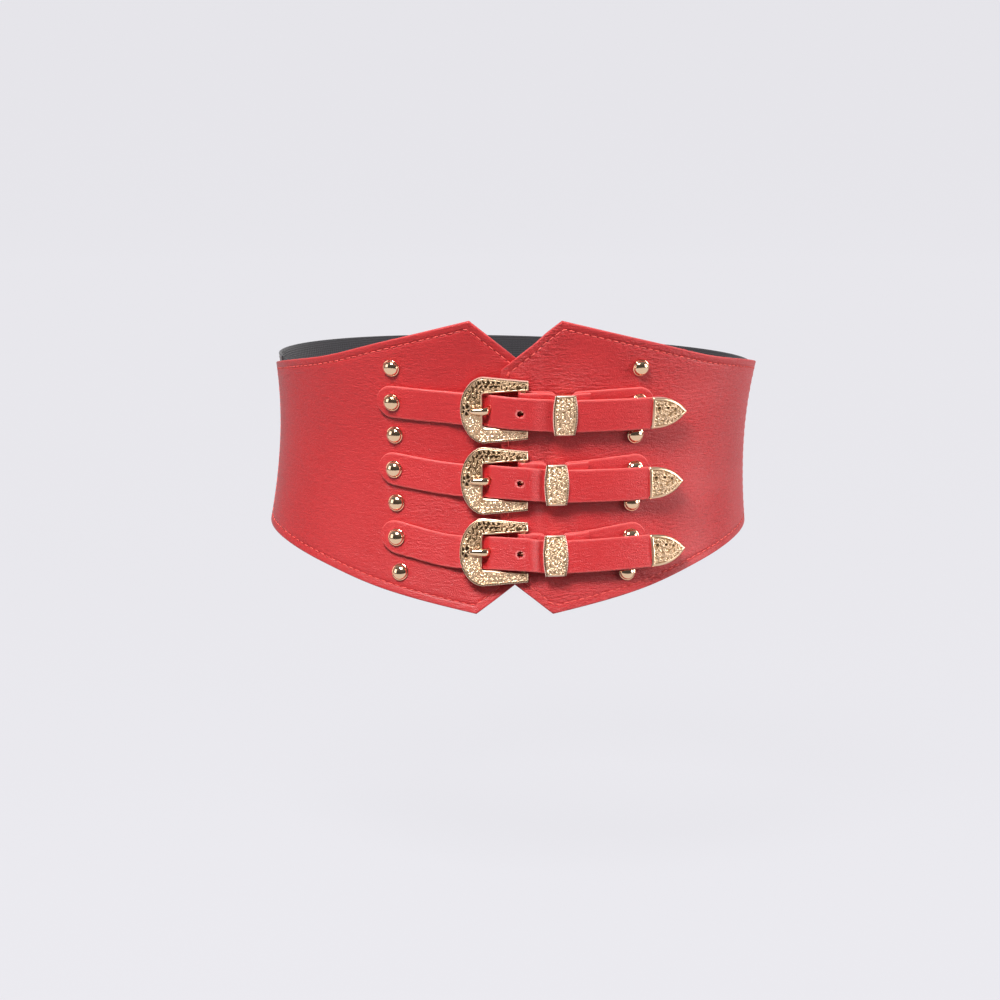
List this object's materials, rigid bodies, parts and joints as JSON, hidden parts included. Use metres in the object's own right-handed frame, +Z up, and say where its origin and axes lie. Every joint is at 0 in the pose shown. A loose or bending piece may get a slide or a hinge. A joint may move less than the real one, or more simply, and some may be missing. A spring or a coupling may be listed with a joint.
{
  "type": "corset belt",
  "caption": "Wide corset belt: pointed leather front panels lapped at the centre, closed by western-style buckled straps between dome rivets, with an elastic back.",
  "frame": {"origin": "middle of the waist that the belt goes round, at the belt's narrowest height", "axes": "+Z up along the wearer's body, the front faces -Y, +X to the right of somebody who looks at the front"},
  "size_m": [0.27, 0.201, 0.1575],
  "materials": {
    "panel_leather": "red imitation leather, fine grain, low sheen",
    "strap_leather": "red imitation leather, smooth, low sheen",
    "elastic": "black ribbed woven elastic, matt",
    "cast_metal": "pale gold plating, engraved and darkened in the recesses",
    "rivet_metal": "pale gold plating, polished"
  },
  "bodies": {
    "root": {"panel_left": "panel_leather", "panel_right": "panel_leather", "back_elastic": "elastic", "strap_upper": "strap_leather", "buckle_tab_upper": "strap_leather", "buckle_frame_upper": "cast_metal", "prong_upper": "cast_metal", "keeper_upper": "cast_metal", "strap_tip_upper": "cast_metal", "strap_middle": "strap_leather", "buckle_tab_middle": "strap_leather", "buckle_frame_middle": "cast_metal", "prong_middle": "cast_metal", "keeper_middle": "cast_metal", "strap_tip_middle": "cast_metal", "strap_lower": "strap_leather", "buckle_tab_lower": "strap_leather", "buckle_frame_lower": "cast_metal", "prong_lower": "cast_metal", "keeper_lower": "cast_metal", "strap_tip_lower": "cast_metal", "stud_left_1": "rivet_metal", "stud_left_2": "rivet_metal", "stud_left_3": "rivet_metal", "stud_left_4": "rivet_metal", "stud_left_5": "rivet_metal", "stud_left_6": "rivet_metal", "stud_left_7": "rivet_metal", "stud_right_1": "rivet_metal", "stud_right_2": "rivet_metal", "stud_right_3": "rivet_metal", "stud_right_4": "rivet_metal", "stud_right_5": "rivet_metal", "stud_right_6": "rivet_metal", "stud_right_7": "rivet_metal"}
  },
  "joints": []
}
